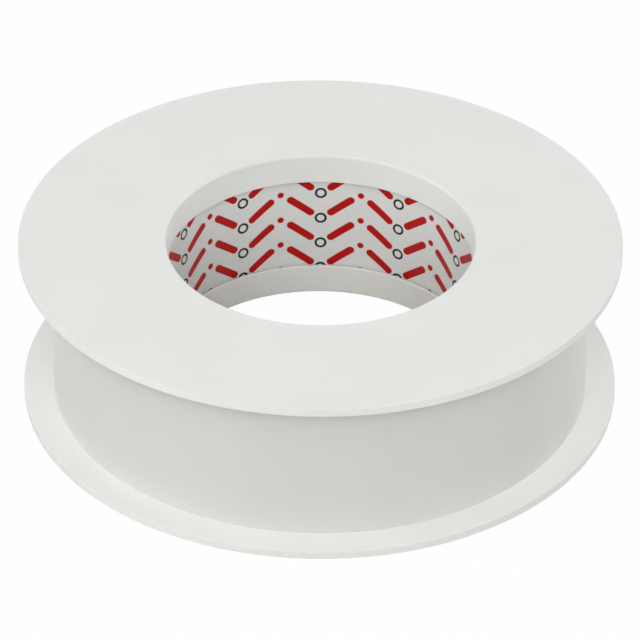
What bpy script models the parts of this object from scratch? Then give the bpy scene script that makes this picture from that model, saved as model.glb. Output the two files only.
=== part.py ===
"""Roll of white electrical tape: a paper core wound with PVC tape, closed by two push-in side discs.

Units are metres and +Z is up, along the axis of the roll. The origin is the centre of the lower disc's
outer face, in the plane that the roll lies on.
"""

import math

import bmesh
import bpy
from mathutils import Vector

MM = 0.001
DEGREE = math.pi / 180

# Tape
TAPE_WIDTH = 15.0 * MM
TAPE_THICKNESS = 0.13 * MM
TAPE_BUILD = 9.1 * MM          # depth of all the turns, from the core to the outside of the roll

# Side discs, both from one mould
BORE_RADIUS = 15.0 * MM
DISC_WALL = 0.8 * MM           # at the rim
DISC_DISH = 0.3 * MM           # how far the outer face sinks towards the bore, inside the rim's plane
FLANGE_STANDOUT = 3.0 * MM     # how far a disc stands proud of the full roll
RIM_LAND = 2.5 * MM            # width of the flat ring at the rim, which the roll lies on
RIM_ROUNDING = 0.3 * MM
COLLAR_WALL = 0.6 * MM
COLLAR_REACH = 2.2 * MM        # length of collar inside the core
COLLAR_LEAD_IN = 0.25 * MM
MOUTH_ROUNDING = 0.45 * MM     # at the mouth of the bore
ROOT_FILLET = 0.25 * MM        # where the collar meets the disc

# Paper core
LINER_WALL = 0.25 * MM
CORE_WALL = 1.2 * MM

# Free end of the tape, on the far side of the roll
LAP_START = 78 * DEGREE        # where the outer turn begins, under the lap
LAP_RAMP = 20 * DEGREE         # stretch over which the tape climbs onto its own start
LAP_HELD = 7.5 * DEGREE        # stretch of lap that stays stuck down
TAB_LENGTH = 22.0 * MM         # stretch of lap that lifts

# Clearances
PUSH_FIT_GAP = 0.2 * MM        # collar to liner
LAMINATION_GAP = 0.15 * MM     # liner to core tube
SEAT_GAP = 0.3 * MM            # between pieces that lie on each other
LAP_GAP = 0.45 * MM            # between the lap and the turn under it
PEEL_GAP = 0.3 * MM            # between the outer turn and the end that lifts

# Facets
TURN_STEPS = 96
ROUNDING_STEPS = 3
SHARP_ANGLE = 30 * DEGREE
MERGE_DISTANCE = 0.001 * MM

# Finishes: colour and roughness
STYRENE = (0.78, 0.80, 0.77), 0.35
BOARD = (0.52, 0.49, 0.44), 0.9
PAPER = (0.74, 0.73, 0.70), 0.6
PVC = (0.75, 0.77, 0.73), 0.45

# Radii, from the bore outwards
COLLAR_RADIUS = BORE_RADIUS + COLLAR_WALL
LINER_INNER = COLLAR_RADIUS + PUSH_FIT_GAP
LINER_OUTER = LINER_INNER + LINER_WALL
CORE_INNER = LINER_OUTER + LAMINATION_GAP
CORE_OUTER = CORE_INNER + CORE_WALL
ROLL_RADIUS = CORE_OUTER + TAPE_BUILD
WINDING_INNER = CORE_OUTER + SEAT_GAP
WINDING_OUTER = ROLL_RADIUS - TAPE_THICKNESS - SEAT_GAP
DISC_RADIUS = ROLL_RADIUS + FLANGE_STANDOUT
TURN_RADIUS = ROLL_RADIUS - TAPE_THICKNESS / 2
LAP_RADIUS = TURN_RADIUS + TAPE_THICKNESS + LAP_GAP

# Heights, from the plane of a disc's rim inwards
ROLL_BASE = DISC_WALL + SEAT_GAP
COLLAR_TIP = ROLL_BASE + COLLAR_REACH
ROLL_HEIGHT = TAPE_WIDTH + 2 * ROLL_BASE


def clear_scene():
    for item in list(bpy.data.objects):
        bpy.data.objects.remove(item, do_unlink=True)


def plain_material(name, colour, roughness):
    material = bpy.data.materials.new(name)
    material.use_nodes = True
    shader = material.node_tree.nodes["Principled BSDF"]
    shader.inputs["Base Color"].default_value = (*colour, 1.0)
    shader.inputs["Roughness"].default_value = roughness
    shader.inputs["Metallic"].default_value = 0.0
    return material


def arc(centre, radius, start, end):
    """Points (radius, height) along an arc, from the angle start to the angle end, in degrees."""
    points = []
    for step in range(ROUNDING_STEPS + 1):
        angle = (start + (end - start) * step / ROUNDING_STEPS) * DEGREE
        points.append((centre[0] + radius * math.cos(angle), centre[1] + radius * math.sin(angle)))
    return points


def polar(radius, angle):
    return Vector((radius * math.cos(angle), radius * math.sin(angle), 0.0))


def mesh_from(bm, name):
    """Closes off a bmesh as a mesh with its faces out and its round faces shaded smooth."""
    bmesh.ops.remove_doubles(bm, verts=bm.verts[:], dist=MERGE_DISTANCE)
    bmesh.ops.recalc_face_normals(bm, faces=bm.faces[:])
    mesh = bpy.data.meshes.new(name)
    bm.to_mesh(mesh)
    bm.free()
    mesh.shade_smooth()
    mesh.set_sharp_from_angle(angle=SHARP_ANGLE)
    return mesh


def turned_ring(name, section):
    """A ring turned about Z from its section, the (radius, height) corners in order."""
    bm = bmesh.new()
    corners = [bm.verts.new((radius, 0.0, height)) for radius, height in section]
    sides = [bm.edges.new(pair) for pair in zip(corners, corners[1:] + corners[:1])]
    bmesh.ops.spin(
        bm, geom=corners + sides, cent=(0, 0, 0), axis=(0, 0, 1), angle=math.tau, steps=TURN_STEPS
    )
    return mesh_from(bm, name)


def plain_tube(name, inner, outer):
    """A tube as long as the tape is wide."""
    return turned_ring(name, [(inner, 0), (outer, 0), (outer, TAPE_WIDTH), (inner, TAPE_WIDTH)])


def tape_strip(name, stations, start=Vector()):
    """A strip of tape on edge, through stations (angle, radius) along its middle, measured from start."""
    bm = bmesh.new()
    rails = []
    for angle, radius in stations:
        inner = polar(radius - TAPE_THICKNESS / 2, angle) - start
        outer = polar(radius + TAPE_THICKNESS / 2, angle) - start
        rails.append((bm.verts.new(inner), bm.verts.new(outer)))
    for (inner, outer), (next_inner, next_outer) in zip(rails, rails[1:]):
        bm.faces.new((inner, outer, next_outer, next_inner))
    raised = bmesh.ops.extrude_face_region(bm, geom=bm.faces[:])["geom"]
    top = [item for item in raised if isinstance(item, bmesh.types.BMVert)]
    bmesh.ops.translate(bm, verts=top, vec=(0, 0, TAPE_WIDTH))
    return mesh_from(bm, name)


def side_disc_section():
    """Section of a side disc, lying with its rim on the plane of zero height and its collar up."""
    hub_edge = BORE_RADIUS + MOUTH_ROUNDING
    land_edge = DISC_RADIUS - RIM_LAND
    outer_face = [(land_edge, 0.0)]
    lower_rim = arc((DISC_RADIUS - RIM_ROUNDING, RIM_ROUNDING), RIM_ROUNDING, -90, 0)
    upper_rim = arc((DISC_RADIUS - RIM_ROUNDING, DISC_WALL - RIM_ROUNDING), RIM_ROUNDING, 0, 90)
    root = arc((COLLAR_RADIUS + ROOT_FILLET, DISC_WALL + ROOT_FILLET), ROOT_FILLET, 270, 180)
    tip = [
        (COLLAR_RADIUS, COLLAR_TIP - COLLAR_LEAD_IN),
        (COLLAR_RADIUS - COLLAR_LEAD_IN, COLLAR_TIP),
        (BORE_RADIUS, COLLAR_TIP),
    ]
    mouth = arc((hub_edge, DISC_DISH + MOUTH_ROUNDING), MOUTH_ROUNDING, 180, 270)
    return outer_face + lower_rim + upper_rim + root + tip + mouth


def outer_turn_stations():
    """The outer turn: round the roll from under the lap, then up over its own start."""
    length = math.tau + LAP_HELD
    climb_end = math.tau
    climb_start = climb_end - LAP_RAMP
    count = math.ceil(length / math.tau * TURN_STEPS)
    stations = []
    for step in range(count + 1):
        along = length * step / count
        climb = min(max((along - climb_start) / (climb_end - climb_start), 0.0), 1.0)
        rise = climb * climb * (3 - 2 * climb)
        stations.append((LAP_START + along, TURN_RADIUS + (LAP_RADIUS - TURN_RADIUS) * rise))
    return stations


def least_gap(stations):
    """Least gap of a wound strip to itself, between points over a quarter turn apart along it."""
    least = math.inf
    for index, (angle, radius) in enumerate(stations):
        for far_angle, far_radius in stations[index:]:
            if far_angle - angle > math.pi / 2:
                apart = (polar(radius, angle) - polar(far_radius, far_angle)).length
                least = min(least, apart - TAPE_THICKNESS)
    return least


def tape_end_stations():
    """The end that lifts, from its peel line to its cut edge."""
    start = LAP_START + LAP_HELD + PEEL_GAP / LAP_RADIUS
    sweep = TAB_LENGTH / LAP_RADIUS
    count = math.ceil(sweep / math.tau * TURN_STEPS)
    return [(start + sweep * step / count, LAP_RADIUS) for step in range(count + 1)]


def place(name, mesh, finish, parent, location=(0, 0, 0), rotation=(0, 0, 0)):
    mesh.materials.append(plain_material(f"{name}_finish", *finish))
    item = bpy.data.objects.new(name, mesh)
    item.parent = parent
    item.location = location
    item.rotation_euler = rotation
    bpy.context.collection.objects.link(item)


def empty(name, location, parent=None):
    marker = bpy.data.objects.new(name, None)
    marker.location = location
    marker.parent = parent
    bpy.context.collection.objects.link(marker)
    return marker


def build():
    clear_scene()
    spool = empty("spool", (0, 0, 0))
    for name, height, turned_over in (("lower_side_disc", 0, 0), ("upper_side_disc", ROLL_HEIGHT, math.pi)):
        disc = turned_ring(name, side_disc_section())
        place(name, disc, STYRENE, spool, (0, 0, height), (turned_over, 0, 0))

    roll = empty("roll", (0, 0, ROLL_BASE), spool)
    place("printed_core_liner", plain_tube("liner", LINER_INNER, LINER_OUTER), PAPER, roll)
    place("core_tube", plain_tube("core", CORE_INNER, CORE_OUTER), BOARD, roll)
    place("tape_winding", plain_tube("winding", WINDING_INNER, WINDING_OUTER), PVC, roll)

    turn = outer_turn_stations()
    place("outer_turn", tape_strip("turn", turn), PVC, roll)
    print(f"outer_turn: least gap to itself {least_gap(turn) / MM:.2f} mm")

    tab = tape_end_stations()
    peel_angle, peel_radius = tab[0]
    peel_line = polar(peel_radius, peel_angle)
    place("tape_end", tape_strip("tab", tab, peel_line), PVC, roll, peel_line)


build()
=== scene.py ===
"""Roll of white electrical tape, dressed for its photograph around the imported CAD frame."""

import math

import bmesh
import bpy
from mathutils import Matrix


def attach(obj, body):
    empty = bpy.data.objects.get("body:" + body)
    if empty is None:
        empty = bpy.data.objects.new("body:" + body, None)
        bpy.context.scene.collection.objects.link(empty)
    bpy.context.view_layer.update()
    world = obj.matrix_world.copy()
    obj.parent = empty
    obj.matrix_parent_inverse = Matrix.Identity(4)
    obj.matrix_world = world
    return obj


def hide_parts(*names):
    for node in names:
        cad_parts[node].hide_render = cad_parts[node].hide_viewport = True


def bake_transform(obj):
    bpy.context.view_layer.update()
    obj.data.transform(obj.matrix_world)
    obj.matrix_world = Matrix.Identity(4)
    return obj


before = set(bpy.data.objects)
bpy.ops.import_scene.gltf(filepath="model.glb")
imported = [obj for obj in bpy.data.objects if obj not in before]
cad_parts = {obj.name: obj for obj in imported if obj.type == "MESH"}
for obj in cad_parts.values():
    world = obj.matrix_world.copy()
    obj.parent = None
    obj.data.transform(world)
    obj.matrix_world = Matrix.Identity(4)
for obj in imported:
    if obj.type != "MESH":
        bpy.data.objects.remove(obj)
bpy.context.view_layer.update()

# Lower side disc
# A thin disc of white polystyrene with a short collar round its bore, injection moulded in one piece.
# Its outer face is dished, so that the roll lies on the land round its rim.
# The collar pushes into the core and holds the disc there.
MM = 0.001
FACETS = 256
MERGE_DISTANCE = 0.001 * MM
SHARP_ANGLE = math.radians(35)
DISC_RADIUS = 29.5 * MM
DISC_WALL = 0.8 * MM
DISC_DISH = 0.3 * MM
LAND_RADIUS = 27.0 * MM
BORE_RADIUS = 15.12 * MM
COLLAR_RADIUS = 15.6 * MM
COLLAR_TIP = 3.5 * MM
RIM_ROUNDING = 0.05 * MM
LAND_ROUNDING = 0.5 * MM
ROOT_FILLET = 0.25 * MM
LEAD_IN = 0.25 * MM
TIP_ROUNDING = 0.08 * MM
MOUTH_ROUNDING = 0.3 * MM


def turned_ring(name, section):
    """Turns a ring about Z: a circle at its section's first corner, drawn out from corner to corner."""
    bpy.ops.object.select_all(action="DESELECT")
    radius, height = section[0]
    bpy.ops.mesh.primitive_circle_add(vertices=FACETS, radius=radius, location=(0, 0, height))
    bpy.ops.object.transform_apply()
    ring = bpy.context.object
    ring.name = name
    bpy.ops.object.mode_set(mode="EDIT")
    bpy.ops.mesh.select_all(action="SELECT")
    for next_radius, next_height in section[1:] + section[:1]:
        bpy.ops.mesh.extrude_edges_move(TRANSFORM_OT_translate={"value": (0, 0, next_height - height)})
        growth = next_radius / radius
        bpy.ops.transform.resize(value=(growth, growth, 1), center_override=(0, 0, next_height))
        radius, height = next_radius, next_height
    bpy.ops.mesh.select_all(action="SELECT")
    bpy.ops.mesh.remove_doubles(threshold=MERGE_DISTANCE)
    bpy.ops.mesh.normals_make_consistent(inside=False)
    bpy.ops.object.mode_set(mode="OBJECT")
    return ring


def round_off(ring, radius, height, width, steps):
    """Bevels the circle of edges that runs round a ring at this radius and height."""
    bpy.ops.object.mode_set(mode="EDIT")
    bpy.ops.mesh.select_mode(type="EDGE")
    bpy.ops.mesh.select_all(action="DESELECT")
    shape = bmesh.from_edit_mesh(ring.data)
    near = 0.01 * MM
    for edge in shape.edges:
        offsets = [math.hypot(math.hypot(v.co.x, v.co.y) - radius, v.co.z - height) for v in edge.verts]
        edge.select_set(max(offsets) < near)
    bmesh.update_edit_mesh(ring.data)
    bpy.ops.mesh.bevel(offset=width, segments=steps, affect="EDGES")
    bpy.ops.object.mode_set(mode="OBJECT")


def smooth(piece):
    """Shades the round faces of a piece smooth, and keeps the flat ones flat."""
    bpy.ops.object.shade_smooth_by_angle(angle=SHARP_ANGLE)
    weighted = piece.modifiers.new("flat_faces_stay_flat", "WEIGHTED_NORMAL")
    weighted.keep_sharp = True
    bpy.ops.object.modifier_apply(modifier=weighted.name)


lower_disc = turned_ring(
    "lower_disc_moulding",
    [
        (LAND_RADIUS, 0),
        (DISC_RADIUS, 0),
        (DISC_RADIUS, DISC_WALL),
        (COLLAR_RADIUS, DISC_WALL),
        (COLLAR_RADIUS, COLLAR_TIP),
        (BORE_RADIUS, COLLAR_TIP),
        (BORE_RADIUS, DISC_DISH),
    ],
)
for radius, height, width, steps in (
    (DISC_RADIUS, 0, RIM_ROUNDING, 3),
    (DISC_RADIUS, DISC_WALL, RIM_ROUNDING, 3),
    (LAND_RADIUS, 0, LAND_ROUNDING, 3),
    (COLLAR_RADIUS, DISC_WALL, ROOT_FILLET, 5),
    (COLLAR_RADIUS, COLLAR_TIP, LEAD_IN, 2),
    (BORE_RADIUS, COLLAR_TIP, TIP_ROUNDING, 3),
    (BORE_RADIUS, DISC_DISH, MOUTH_ROUNDING, 7),
):
    round_off(lower_disc, radius, height, width, steps)
smooth(lower_disc)


def linear(hex_colour):
    """Linear RGBA of an sRGB hex colour."""
    channels = [int(hex_colour[place:place + 2], 16) / 255 for place in (1, 3, 5)]
    return [c / 12.92 if c <= 0.04045 else ((c + 0.055) / 1.055) ** 2.4 for c in channels] + [1.0]


def node(tree, kind, sockets, **settings):
    """Adds a node to a material, with its settings and with a value or a link for each socket named."""
    added = tree.nodes.new("ShaderNode" + kind)
    for setting, value in settings.items():
        setattr(added, setting, value)
    for socket, value in sockets.items():
        if isinstance(value, bpy.types.NodeSocket):
            tree.links.new(value, added.inputs[socket])
        else:
            added.inputs[socket].default_value = value
    return added.outputs


def new_material(name):
    """An empty material: its node tree, and the socket that takes its shader."""
    material = bpy.data.materials.new(name)
    material.use_nodes = True
    tree = material.node_tree
    tree.nodes.clear()
    return material, tree, tree.nodes.new("ShaderNodeOutputMaterial").inputs["Surface"]


# White polystyrene from a fine spark-eroded mould: an even cool white with a low sheen, clouded by a hair
# where the melt spread out from the hub. The 0.1 mm grain of the mould is drawn at 0.3 mm, to show.
polystyrene, tree, surface = new_material("moulded_white_polystyrene")
place = node(tree, "TexCoord", {})["Object"]
cloud = node(tree, "TexNoise", {"Vector": place, "Scale": 1 / (9 * MM), "Detail": 2.0})["Fac"]
grain = node(tree, "TexNoise", {"Vector": place, "Scale": 1 / (0.3 * MM), "Detail": 2.0})["Fac"]
white = node(
    tree,
    "Mix",
    {0: cloud, 6: linear("#ECEEEB"), 7: linear("#E6E8E4")},
    data_type="RGBA",
)[2]
sheen = node(tree, "MapRange", {"Value": cloud, "To Min": 0.7, "To Max": 0.78})["Result"]
relief = node(tree, "Bump", {"Height": grain, "Strength": 0.05, "Distance": 0.02 * MM})["Normal"]
shader = node(
    tree,
    "BsdfPrincipled",
    {"Base Color": white, "Roughness": sheen, "Normal": relief, "IOR": 1.59, "Specular IOR Level": 0.2},
)
tree.links.new(shader["BSDF"], surface)
lower_disc.data.materials.append(polystyrene)

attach(lower_disc, "lower_disc")
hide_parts("lower_side_disc")

# Core tube
# Three plies of grey recycled board, wound and glued into a tube and cut to the width of the tape.
# The tape is wound straight onto it, and the discs' collars push into its ends.
ROLL_HEIGHT = 17.2 * MM
TAPE_BASE = 0.81 * MM
TAPE_TOP = ROLL_HEIGHT - TAPE_BASE
TAPE_WIDTH = TAPE_TOP - TAPE_BASE
CORE_INNER = 16.07 * MM
CORE_OUTER = 17.43 * MM
PLIES = 3
PLY_GROOVE = 0.06 * MM

ply = (CORE_OUTER - CORE_INNER) / PLIES
cut_end = []
for number in range(1, PLIES):
    seam = CORE_INNER + number * ply
    cut_end += [(seam - PLY_GROOVE / 2, 0), (seam, PLY_GROOVE), (seam + PLY_GROOVE / 2, 0)]
lower_end = [(radius, TAPE_BASE + depth) for radius, depth in cut_end]
upper_end = [(radius, TAPE_TOP - depth) for radius, depth in reversed(cut_end)]
core_tube = turned_ring(
    "core_board_tube",
    [(CORE_INNER, TAPE_BASE)]
    + lower_end
    + [(CORE_OUTER, TAPE_BASE), (CORE_OUTER, TAPE_TOP)]
    + upper_end
    + [(CORE_INNER, TAPE_TOP)],
)
smooth(core_tube)

# Raw grey board: matt and mottled, with short pale and dark fibres that lie along the ply.
board, tree, surface = new_material("recycled_grey_board")
place = node(tree, "TexCoord", {})["Object"]
pulp = node(tree, "TexNoise", {"Vector": place, "Scale": 1 / (1.5 * MM), "Detail": 4.0})["Fac"]
lying = node(tree, "Mapping", {"Vector": place, "Scale": (1, 1, 5)})["Vector"]
fibre = node(tree, "TexNoise", {"Vector": lying, "Scale": 1 / (0.7 * MM), "Detail": 3.0})["Fac"]
mottle = node(
    tree,
    "Mix",
    {0: pulp, 6: linear("#C6C0B6"), 7: linear("#A39C91")},
    data_type="RGBA",
)[2]
limits = {"Value": fibre, "From Min": 0.62, "From Max": 0.72, "To Max": 0.5}
speck = node(tree, "MapRange", limits)["Result"]
grey = node(tree, "Mix", {0: speck, 6: mottle, 7: linear("#7E776C")}, data_type="RGBA")[2]
relief = node(tree, "Bump", {"Height": fibre, "Strength": 0.4, "Distance": 0.05 * MM})["Normal"]
shader = node(tree, "BsdfPrincipled", {"Base Color": grey, "Roughness": 0.92, "Normal": relief})
tree.links.new(shader["BSDF"], surface)
core_tube.data.materials.append(board)

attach(core_tube, "roll")
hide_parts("core_tube")

# Printed core liner
# The innermost ply of the core, a smooth white paper, printed in red and black before it was wound and
# glued in. Its print is a plain trellis of slanted red strokes, red dots and black rings, which repeats a
# whole number of times round the bore. The sizes of the print are in millimetres.
LINER_INNER = 15.8 * MM
LINER_OUTER = 16.06 * MM
LINER_EDGE = 0.06 * MM
PRINT_COLUMNS = 24
PRINT_ROW = 3.0
STROKE_SLANT = math.radians(-38)
HALF_STROKE = 1.3
STROKE_HALF_WIDTH = 0.4
DOT_RADIUS = 0.34
RING_RADIUS = 0.5
RING_HALF_WIDTH = 0.12
INK_EDGE = 0.03

liner = turned_ring(
    "printed_paper_liner",
    [
        (LINER_INNER, TAPE_BASE),
        (LINER_OUTER, TAPE_BASE),
        (LINER_OUTER, TAPE_TOP),
        (LINER_INNER, TAPE_TOP),
    ],
)
for height in (TAPE_BASE, TAPE_TOP):
    round_off(liner, LINER_INNER, height, LINER_EDGE, 2)
smooth(liner)

# Machine-finished white paper with flat ink: softly shiny, a little shinier where the ink lies, with crisp
# edges. The print is drawn in millimetres on the liner as if it were unrolled.
column = math.tau * LINER_INNER / MM / PRINT_COLUMNS
paper, tree, surface = new_material("printed_white_paper")
place = node(tree, "TexCoord", {})["Object"]
axes = node(tree, "SeparateXYZ", {"Vector": place})
turn = node(tree, "Math", {0: axes["Y"], 1: axes["X"]}, operation="ARCTAN2")[0]
along = node(tree, "Math", {0: turn, 1: LINER_INNER / MM}, operation="MULTIPLY")[0]
across = node(tree, "Math", {0: axes["Z"], 1: 1 / MM}, operation="MULTIPLY")[0]
from_ring = node(tree, "Math", {0: along, 1: column}, operation="PINGPONG")[0]
from_dot = node(tree, "Math", {0: column, 1: from_ring}, operation="SUBTRACT")[0]
from_stroke = node(tree, "Math", {0: from_ring, 1: column / 2}, operation="SUBTRACT")[0]
row = node(tree, "Math", {0: across, 1: PRINT_ROW, 2: 0.0}, operation="WRAP")[0]
stroke_row = node(tree, "Math", {0: row, 1: PRINT_ROW / 2}, operation="SUBTRACT")[0]
mark_row = node(tree, "Math", {0: across, 1: PRINT_ROW / 2, 2: -PRINT_ROW / 2}, operation="WRAP")[0]

spot = node(tree, "CombineXYZ", {"X": from_stroke, "Y": stroke_row})["Vector"]
slanted = node(
    tree,
    "VectorRotate",
    {"Vector": spot, "Angle": STROKE_SLANT},
    rotation_type="Z_AXIS",
)["Vector"]
parts = node(tree, "SeparateXYZ", {"Vector": slanted})
beside = node(tree, "Math", {0: parts["X"]}, operation="ABSOLUTE")[0]
past_end = node(tree, "Math", {0: beside, 1: HALF_STROKE}, operation="SUBTRACT")[0]
past_end = node(tree, "Math", {0: past_end, 1: 0.0}, operation="MAXIMUM")[0]
spot = node(tree, "CombineXYZ", {"X": past_end, "Y": parts["Y"]})["Vector"]
to_stroke = node(tree, "VectorMath", {0: spot}, operation="LENGTH")["Value"]
spot = node(tree, "CombineXYZ", {"X": from_dot, "Y": mark_row})["Vector"]
to_dot = node(tree, "VectorMath", {0: spot}, operation="LENGTH")["Value"]
spot = node(tree, "CombineXYZ", {"X": from_ring, "Y": mark_row})["Vector"]
to_centre = node(tree, "VectorMath", {0: spot}, operation="LENGTH")["Value"]
to_ring = node(tree, "Math", {0: to_centre, 1: RING_RADIUS}, operation="SUBTRACT")[0]
to_ring = node(tree, "Math", {0: to_ring}, operation="ABSOLUTE")[0]
inked = []
for distance, half_width in (
    (to_stroke, STROKE_HALF_WIDTH),
    (to_dot, DOT_RADIUS),
    (to_ring, RING_HALF_WIDTH),
):
    limits = {"Value": distance, "From Min": half_width + INK_EDGE, "From Max": half_width - INK_EDGE}
    inked.append(node(tree, "MapRange", limits)["Result"])
red_ink = node(tree, "Math", {0: inked[0], 1: inked[1]}, operation="MAXIMUM")[0]
any_ink = node(tree, "Math", {0: red_ink, 1: inked[2]}, operation="MAXIMUM")[0]

fibre = node(tree, "TexNoise", {"Vector": place, "Scale": 1 / (0.4 * MM), "Detail": 3.0})["Fac"]
stock = node(tree, "Mix", {0: fibre, 6: linear("#E4E6E3"), 7: linear("#DCDEDC")}, data_type="RGBA")[2]
with_red = node(tree, "Mix", {0: red_ink, 6: stock, 7: linear("#B40C06")}, data_type="RGBA")[2]
printed = node(tree, "Mix", {0: inked[2], 6: with_red, 7: linear("#211F1F")}, data_type="RGBA")[2]
sheen = node(tree, "MapRange", {"Value": any_ink, "To Min": 0.5, "To Max": 0.38})["Result"]
relief = node(tree, "Bump", {"Height": fibre, "Strength": 0.08, "Distance": 0.02 * MM})["Normal"]
shader = node(
    tree,
    "BsdfPrincipled",
    {"Base Color": printed, "Roughness": sheen, "Normal": relief, "Specular IOR Level": 0.15},
)
tree.links.new(shader["BSDF"], surface)
liner.data.materials.append(paper)

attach(liner, "roll")
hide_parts("printed_core_liner")

# Tape winding
# All the turns of tape under the outermost one: one length of film, wound from the core outwards, whose
# slit edges show as a fine spiral. Three films are drawn as one turn of 0.45 mm, so that the turns show,
# and the last turn thins out to the one film that goes on as the outer turn.
FILM = 0.13 * MM
FILM_GAP = 0.02 * MM
MID_HEIGHT = TAPE_BASE + TAPE_WIDTH / 2
LAP_START = math.radians(78)
FILMS_PER_TURN = 3
TURN_PITCH = FILMS_PER_TURN * (FILM + FILM_GAP)
TURN_WALL = TURN_PITCH - FILM_GAP
WINDING_INNER = 17.45 * MM
WINDING_OUTER = 26.44 * MM
STEPS_PER_TURN = 120
SLIT_EDGE = 0.06 * MM

bpy.ops.object.select_all(action="DESELECT")
line = bpy.data.curves.new("wound_tape", "CURVE")
line.dimensions = "2D"
line.extrude = TAPE_WIDTH / 2
winding = bpy.data.objects.new("wound_tape", line)
bpy.context.collection.objects.link(winding)
turns = (WINDING_OUTER - FILM - WINDING_INNER) / TURN_PITCH
steps = round(turns * STEPS_PER_TURN)
spiral = line.splines.new("POLY")
spiral.points.add(steps)
for step, point in enumerate(spiral.points):
    turns_left = turns * (1 - step / steps)
    wall = FILM + (TURN_WALL - FILM) * min(turns_left, 1)
    radius = WINDING_OUTER - FILM - TURN_PITCH * turns_left + wall / 2
    angle = LAP_START - math.tau * turns_left
    point.co = (radius * math.cos(angle), radius * math.sin(angle), 0, 1)
winding.location = (0, 0, MID_HEIGHT)
winding.select_set(True)
bpy.context.view_layer.objects.active = winding
bpy.ops.object.convert(target="MESH")
winding = bpy.context.object
bpy.ops.object.transform_apply()
thinning = winding.vertex_groups.new(name="thinning")
last_line = WINDING_OUTER - FILM / 2
last_growth = TURN_PITCH - (TURN_WALL - FILM) / 2
for corner in winding.data.vertices:
    turns_left = (last_line - math.hypot(corner.co.x, corner.co.y)) / last_growth
    wall = FILM + (TURN_WALL - FILM) * min(max(turns_left, 0), 1)
    thinning.add([corner.index], wall / TURN_WALL, "REPLACE")
film_wall = winding.modifiers.new("film_wall", "SOLIDIFY")
film_wall.thickness = TURN_WALL
film_wall.offset = 0
film_wall.vertex_group = thinning.name
bpy.ops.object.modifier_apply(modifier=film_wall.name)
winding.vertex_groups.clear()
edges = winding.modifiers.new("slit_edges", "BEVEL")
edges.width = SLIT_EDGE
edges.segments = 2
edges.limit_method = "ANGLE"
edges.angle_limit = math.radians(60)
bpy.ops.object.modifier_apply(modifier=edges.name)
bpy.ops.object.mode_set(mode="EDIT")
bpy.ops.mesh.select_all(action="SELECT")
bpy.ops.mesh.normals_make_consistent(inside=False)
bpy.ops.object.mode_set(mode="OBJECT")
smooth(winding)

# Soft white PVC film, calendered between steel rolls: a satin sheen, with faint streaks along its length
# from the rolls, and a faint unevenness round the roll from the tension that it was wound with.
film, tree, surface = new_material("calendered_white_pvc")
place = node(tree, "TexCoord", {})["Object"]
lengthwise = node(tree, "Mapping", {"Vector": place, "Scale": (0.06, 0.06, 1)})["Vector"]
streak = node(tree, "TexNoise", {"Vector": lengthwise, "Scale": 1 / (0.9 * MM), "Detail": 2.0})["Fac"]
crosswise = node(tree, "Mapping", {"Vector": place, "Scale": (1, 1, 0.12)})["Vector"]
tension = node(tree, "TexNoise", {"Vector": crosswise, "Scale": 1 / (5 * MM), "Detail": 1.0})["Fac"]
grain = node(tree, "TexNoise", {"Vector": place, "Scale": 1 / (0.25 * MM), "Detail": 2.0})["Fac"]
white = node(tree, "Mix", {0: tension, 6: linear("#D7D8D3"), 7: linear("#D3D4CF")}, data_type="RGBA")[2]
sheen = node(tree, "MapRange", {"Value": streak, "To Min": 0.4, "To Max": 0.5})["Result"]
wave = node(tree, "Bump", {"Height": tension, "Strength": 0.12, "Distance": 0.1 * MM})["Normal"]
pebble = {"Height": grain, "Strength": 0.06, "Distance": 0.02 * MM, "Normal": wave}
relief = node(tree, "Bump", pebble)["Normal"]
shader = node(
    tree,
    "BsdfPrincipled",
    {"Base Color": white, "Roughness": sheen, "Normal": relief, "IOR": 1.53, "Specular IOR Level": 0.35},
)
tree.links.new(shader["BSDF"], surface)
winding.data.materials.append(film)

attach(winding, "roll")
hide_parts("tape_winding")

# Outer turn
# The outermost turn of the tape, 0.13 mm of soft film that goes on from the last turn of the winding,
# once round the roll and up over its own start, where its adhesive holds it down.
TURN_RADIUS = WINDING_OUTER - FILM / 2
LAP_RADIUS = TURN_RADIUS + FILM + FILM_GAP
LAP_HELD = math.radians(7.5)
TURN_STEPS = 240


def wind_film(name, start, sweep, radii):
    """Winds a film on edge round the roll: its cut face at the start, drawn out along these radii."""
    step_angle = sweep / (len(radii) - 1)
    bpy.ops.object.select_all(action="DESELECT")
    bpy.ops.mesh.primitive_plane_add(size=1, rotation=(math.pi / 2, 0, 0))
    strip = bpy.context.object
    strip.name = name
    bpy.ops.object.transform_apply()
    bpy.ops.object.mode_set(mode="EDIT")
    bpy.ops.mesh.select_all(action="SELECT")
    bpy.ops.transform.resize(value=(FILM, 1, TAPE_WIDTH), center_override=(0, 0, 0))
    bpy.ops.transform.translate(value=(radii[0], 0, MID_HEIGHT))
    bpy.ops.transform.rotate(value=-start, orient_axis="Z", center_override=(0, 0, 0))
    for radius, next_radius in zip(radii, radii[1:]):
        growth = next_radius / radius
        bpy.ops.mesh.extrude_region_move()
        bpy.ops.transform.rotate(value=-step_angle, orient_axis="Z", center_override=(0, 0, 0))
        bpy.ops.transform.resize(value=(growth, growth, 1), center_override=(0, 0, MID_HEIGHT))
    bpy.ops.mesh.select_all(action="SELECT")
    bpy.ops.mesh.remove_doubles(threshold=MERGE_DISTANCE)
    bpy.ops.mesh.normals_make_consistent(inside=False)
    bpy.ops.object.mode_set(mode="OBJECT")
    return strip


lap_sweep = math.tau + LAP_HELD
growth_per_step = (LAP_RADIUS - TURN_RADIUS) * lap_sweep / math.tau / TURN_STEPS
turn_radii = [TURN_RADIUS + growth_per_step * step for step in range(TURN_STEPS + 1)]
outer_turn = wind_film("outer_tape_turn", LAP_START, lap_sweep, turn_radii)
smooth(outer_turn)
outer_turn.data.materials.append(film)

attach(outer_turn, "roll")
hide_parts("outer_turn")

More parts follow.
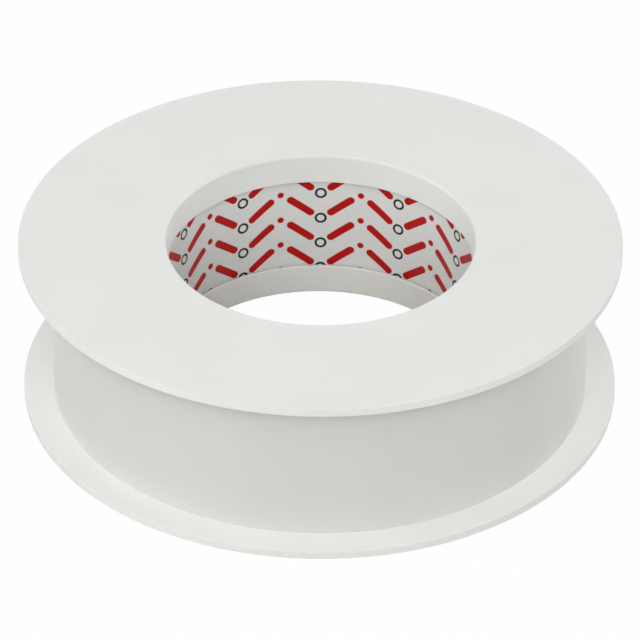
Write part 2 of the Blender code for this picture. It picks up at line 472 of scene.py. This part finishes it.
# Tape end
# The last 22 mm of the same film, on the far side of the roll. Its adhesive holds it to the turn below, its
# cut end stands up by a hair, and it bends off the roll where it is peeled.
TAB_LENGTH = 22.0 * MM
TAB_LIFT = 0.35 * MM
STUCK_SHARE = 0.6
TAB_STEPS = 48

tab_start = LAP_START + LAP_HELD
tab_sweep = TAB_LENGTH / LAP_RADIUS
tab_growth = (LAP_RADIUS - TURN_RADIUS) * tab_sweep / math.tau
tab_radii = []
for step in range(TAB_STEPS + 1):
    share = step / TAB_STEPS
    lift = TAB_LIFT * (max(share - STUCK_SHARE, 0) / (1 - STUCK_SHARE)) ** 2
    tab_radii.append(turn_radii[-1] + tab_growth * share + lift)
tape_end = wind_film("tape_end_tab", tab_start, tab_sweep, tab_radii)
smooth(tape_end)

# Rubber adhesive on the inner side of the film: a tacky coat, glossier and a little creamier than the film.
adhesive, tree, surface = new_material("rubber_tape_adhesive")
place = node(tree, "TexCoord", {})["Object"]
coat = node(tree, "TexNoise", {"Vector": place, "Scale": 1 / (1.2 * MM), "Detail": 3.0})["Fac"]
cream = node(tree, "Mix", {0: coat, 6: linear("#DCDACF"), 7: linear("#D2D0C4")}, data_type="RGBA")[2]
sheen = node(tree, "MapRange", {"Value": coat, "To Min": 0.18, "To Max": 0.3})["Result"]
relief = node(tree, "Bump", {"Height": coat, "Strength": 0.15, "Distance": 0.05 * MM})["Normal"]
shader = node(tree, "BsdfPrincipled", {"Base Color": cream, "Roughness": sheen, "Normal": relief})
tree.links.new(shader["BSDF"], surface)
tape_end.data.materials.append(film)
tape_end.data.materials.append(adhesive)
for face in tape_end.data.polygons:
    outwards = face.center.x * face.normal.x + face.center.y * face.normal.y
    face.material_index = 1 if outwards < -0.5 * math.hypot(face.center.x, face.center.y) else 0

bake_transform(tape_end)
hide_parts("tape_end")

# Upper side disc
# The same moulding as the lower disc, turned over and pushed into the other end of the core.
bpy.ops.object.select_all(action="DESELECT")
lower_disc.select_set(True)
bpy.context.view_layer.objects.active = lower_disc
bpy.ops.object.duplicate(linked=False)
upper_disc = bpy.context.object
upper_disc.name = "upper_disc_moulding"
upper_disc.parent = None
upper_disc.matrix_world = Matrix.Translation((0, 0, ROLL_HEIGHT)) @ Matrix.Rotation(math.pi, 4, "X")
bpy.ops.object.transform_apply()
for key in list(upper_disc.keys()):
    if key.startswith("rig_"):
        del upper_disc[key]
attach(upper_disc, "upper_disc")
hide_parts("upper_side_disc")

# Floor
# A plain pale table under the roll, which throws light back up under the discs. The camera sees it as
# white, apart from a trace of the roll's soft shadow.
TABLE_SIZE = 3.0
TABLE_DROP = 0.05 * MM
SEEN_WHITE = 0.985


def background_ray(tree):
    """1 for a ray that sees the background, straight, by gloss or through glass, and otherwise 0."""
    path = node(tree, "LightPath", {})
    seen = node(tree, "Math", {0: path["Is Camera Ray"], 1: path["Is Glossy Ray"]}, operation="MAXIMUM")[0]
    return node(tree, "Math", {0: seen, 1: path["Is Transmission Ray"]}, operation="MAXIMUM")[0]


bpy.ops.object.select_all(action="DESELECT")
bpy.ops.mesh.primitive_plane_add(size=TABLE_SIZE, location=(0, 0, -TABLE_DROP))
floor = bpy.context.object
floor.name = "table"
table_white, tree, surface = new_material("white_table")
share = node(tree, "Math", {0: background_ray(tree), 1: SEEN_WHITE}, operation="MULTIPLY")[0]
lit = node(tree, "BsdfDiffuse", {"Color": linear("#C8C8C5")})["BSDF"]
plain = node(tree, "Emission", {"Color": linear("#FFFFFF"), "Strength": 1.0})["Emission"]
mixed = node(tree, "MixShader", {0: share, 1: lit, 2: plain})["Shader"]
tree.links.new(mixed, surface)
floor.data.materials.append(table_white)

# Light
# A tent of soft boxes all round the roll. The strongest are the low one behind on the right and the one in
# front. The weaker ones, low at the sides and behind and higher in front and on the left, fill the bore
# and the gap between the discs. The white walls of the studio are seen and mirrored, and light nothing else.
LAMP_DISTANCE = 0.6
LAMP_SIZE = 0.4

world = bpy.data.worlds.new("studio")
bpy.context.scene.world = world
world.use_nodes = True
tree = world.node_tree
tree.nodes.clear()
seen = background_ray(tree)
walls = node(tree, "Background", {"Color": linear("#FFFFFF"), "Strength": seen})["Background"]
tree.links.new(walls, tree.nodes.new("ShaderNodeOutputWorld").inputs["Surface"])


def soft_box(name, azimuth, elevation, power):
    """A square lamp that faces the roll, from this many degrees right of the camera and above the table."""
    bpy.ops.object.select_all(action="DESELECT")
    bpy.ops.object.light_add(type="AREA")
    lamp = bpy.context.object
    lamp.name = name
    lamp.data.shape = "SQUARE"
    lamp.data.size = LAMP_SIZE
    lamp.data.energy = power
    turned = Matrix.Rotation(math.radians(azimuth), 4, "Z")
    raised = Matrix.Rotation(math.radians(90 - elevation), 4, "X")
    lamp.matrix_world = turned @ raised @ Matrix.Translation((0, 0, LAMP_DISTANCE))


for name, azimuth, elevation, power in (
    ("front", 0, 28, 1.6),
    ("front_high", 0, 45, 0.9),
    ("right", 90, 29, 0.95),
    ("right_back", 135, 14, 1.97),
    ("back", 180, 28, 0.66),
    ("left_back", -135, 14, 0.57),
    ("left", -90, 14, 1.11),
    ("left_high", -90, 45, 0.58),
    ("left_front", -45, 45, 0.43),
):
    soft_box(name, azimuth, elevation, power)

# Camera
# A long lens that looks down on the table at 34 degrees, dipped and turned by a fraction of a degree, so
# that the roll sits in the frame as in the photograph.
CAMERA_LENS = 216.44
CAMERA_SENSOR = 36.0
CAMERA_DISTANCE = 380.7 * MM
CAMERA_ELEVATION = math.radians(34.0)
CAMERA_DIP = math.radians(0.188)
CAMERA_TURN = math.radians(0.37)

bpy.ops.object.camera_add()
camera = bpy.context.object
camera.data.lens = CAMERA_LENS
camera.data.sensor_width = CAMERA_SENSOR
back = CAMERA_DISTANCE * math.cos(CAMERA_ELEVATION)
up = CAMERA_DISTANCE * math.sin(CAMERA_ELEVATION)
stand = (0, -back, ROLL_HEIGHT / 2 + up)
pitch = Matrix.Rotation(math.pi / 2 - CAMERA_ELEVATION - CAMERA_DIP, 4, "X")
roll = Matrix.Rotation(CAMERA_TURN, 4, "Z")
camera.matrix_world = Matrix.Translation(stand) @ pitch @ roll
bpy.context.scene.camera = camera
bpy.context.scene.view_settings.view_transform = "Standard"
